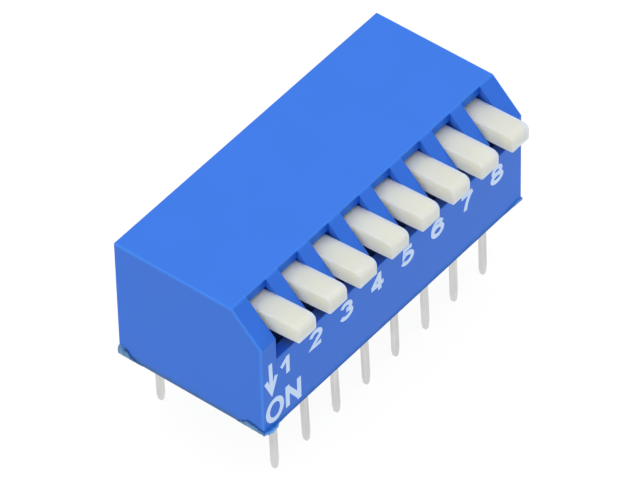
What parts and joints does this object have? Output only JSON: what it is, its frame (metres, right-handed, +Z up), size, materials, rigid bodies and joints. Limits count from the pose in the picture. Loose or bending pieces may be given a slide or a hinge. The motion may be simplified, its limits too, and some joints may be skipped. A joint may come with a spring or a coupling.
{
  "type": "dip switch",
  "caption": "Piano-style DIP switch: ivory side levers in a blue moulded cover with a sloped front edge, over two rows of flat tinned pins.",
  "frame": {"origin": "middle of the pin pattern, at the height of the cover's lower rim, which sits on the circuit board", "axes": "+X along the row from switch 1 to the last switch, -Y the side of the levers and the printed numbers, +Z up, away from the circuit board"},
  "size_m": [0.022, 0.0112, 0.0128],
  "materials": {
    "cover_blue": "satin, moulded",
    "lever_ivory": "semi-gloss, moulded",
    "base_black": "matte, moulded",
    "resin_teal": "cast resin, glossy",
    "tin": "satin tin plate",
    "bronze": "satin spring bronze"
  },
  "bodies": {
    "housing": {"cover": "cover_blue", "base": "base_black", "epoxy_seal": "resin_teal", "fixed_terminal_1": "tin", "fixed_terminal_2": "tin", "fixed_terminal_3": "tin", "fixed_terminal_4": "tin", "fixed_terminal_5": "tin", "fixed_terminal_6": "tin", "fixed_terminal_7": "tin", "fixed_terminal_8": "tin", "moving_terminal_1": "tin", "moving_terminal_2": "tin", "moving_terminal_3": "tin", "moving_terminal_4": "tin", "moving_terminal_5": "tin", "moving_terminal_6": "tin", "moving_terminal_7": "tin", "moving_terminal_8": "tin", "contact_spring_1": "bronze", "contact_spring_2": "bronze", "contact_spring_3": "bronze", "contact_spring_4": "bronze", "contact_spring_5": "bronze", "contact_spring_6": "bronze", "contact_spring_7": "bronze", "contact_spring_8": "bronze"},
    "switch_1": {"lever_1": "lever_ivory"},
    "switch_2": {"lever_2": "lever_ivory"},
    "switch_3": {"lever_3": "lever_ivory"},
    "switch_4": {"lever_4": "lever_ivory"},
    "switch_5": {"lever_5": "lever_ivory"},
    "switch_6": {"lever_6": "lever_ivory"},
    "switch_7": {"lever_7": "lever_ivory"},
    "switch_8": {"lever_8": "lever_ivory"}
  },
  "joints": [
    {"name": "lever_1_rock", "type": "hinge", "parent": "housing", "child": "switch_1", "pos_m": [-0.00889, -0.0003, 0.0053], "axis": [1, 0, 0], "range_deg": [0, 20.9], "deforming": ["contact_spring_1"]},
    {"name": "lever_2_rock", "type": "hinge", "parent": "housing", "child": "switch_2", "pos_m": [-0.00635, -0.0003, 0.0053], "axis": [1, 0, 0], "range_deg": [0, 21.3], "deforming": ["contact_spring_2"]},
    {"name": "lever_3_rock", "type": "hinge", "parent": "housing", "child": "switch_3", "pos_m": [-0.00381, -0.0003, 0.0053], "axis": [1, 0, 0], "range_deg": [0, 20.4], "deforming": ["contact_spring_3"]},
    {"name": "lever_4_rock", "type": "hinge", "parent": "housing", "child": "switch_4", "pos_m": [-0.00127, -0.0003, 0.0053], "axis": [1, 0, 0], "range_deg": [0, 20.3], "deforming": ["contact_spring_4"]},
    {"name": "lever_5_rock", "type": "hinge", "parent": "housing", "child": "switch_5", "pos_m": [0.00127, -0.0003, 0.0053], "axis": [1, 0, 0], "range_deg": [0, 20.1], "deforming": ["contact_spring_5"]},
    {"name": "lever_6_rock", "type": "hinge", "parent": "housing", "child": "switch_6", "pos_m": [0.00381, -0.0003, 0.0053], "axis": [1, 0, 0], "range_deg": [0, 19.7], "deforming": ["contact_spring_6"]},
    {"name": "lever_7_rock", "type": "hinge", "parent": "housing", "child": "switch_7", "pos_m": [0.00635, -0.0003, 0.0053], "axis": [1, 0, 0], "range_deg": [0, 19.1], "deforming": ["contact_spring_7"]},
    {"name": "lever_8_rock", "type": "hinge", "parent": "housing", "child": "switch_8", "pos_m": [0.00889, -0.0003, 0.0053], "axis": [1, 0, 0], "range_deg": [0, 18.8], "deforming": ["contact_spring_8"]}
  ]
}
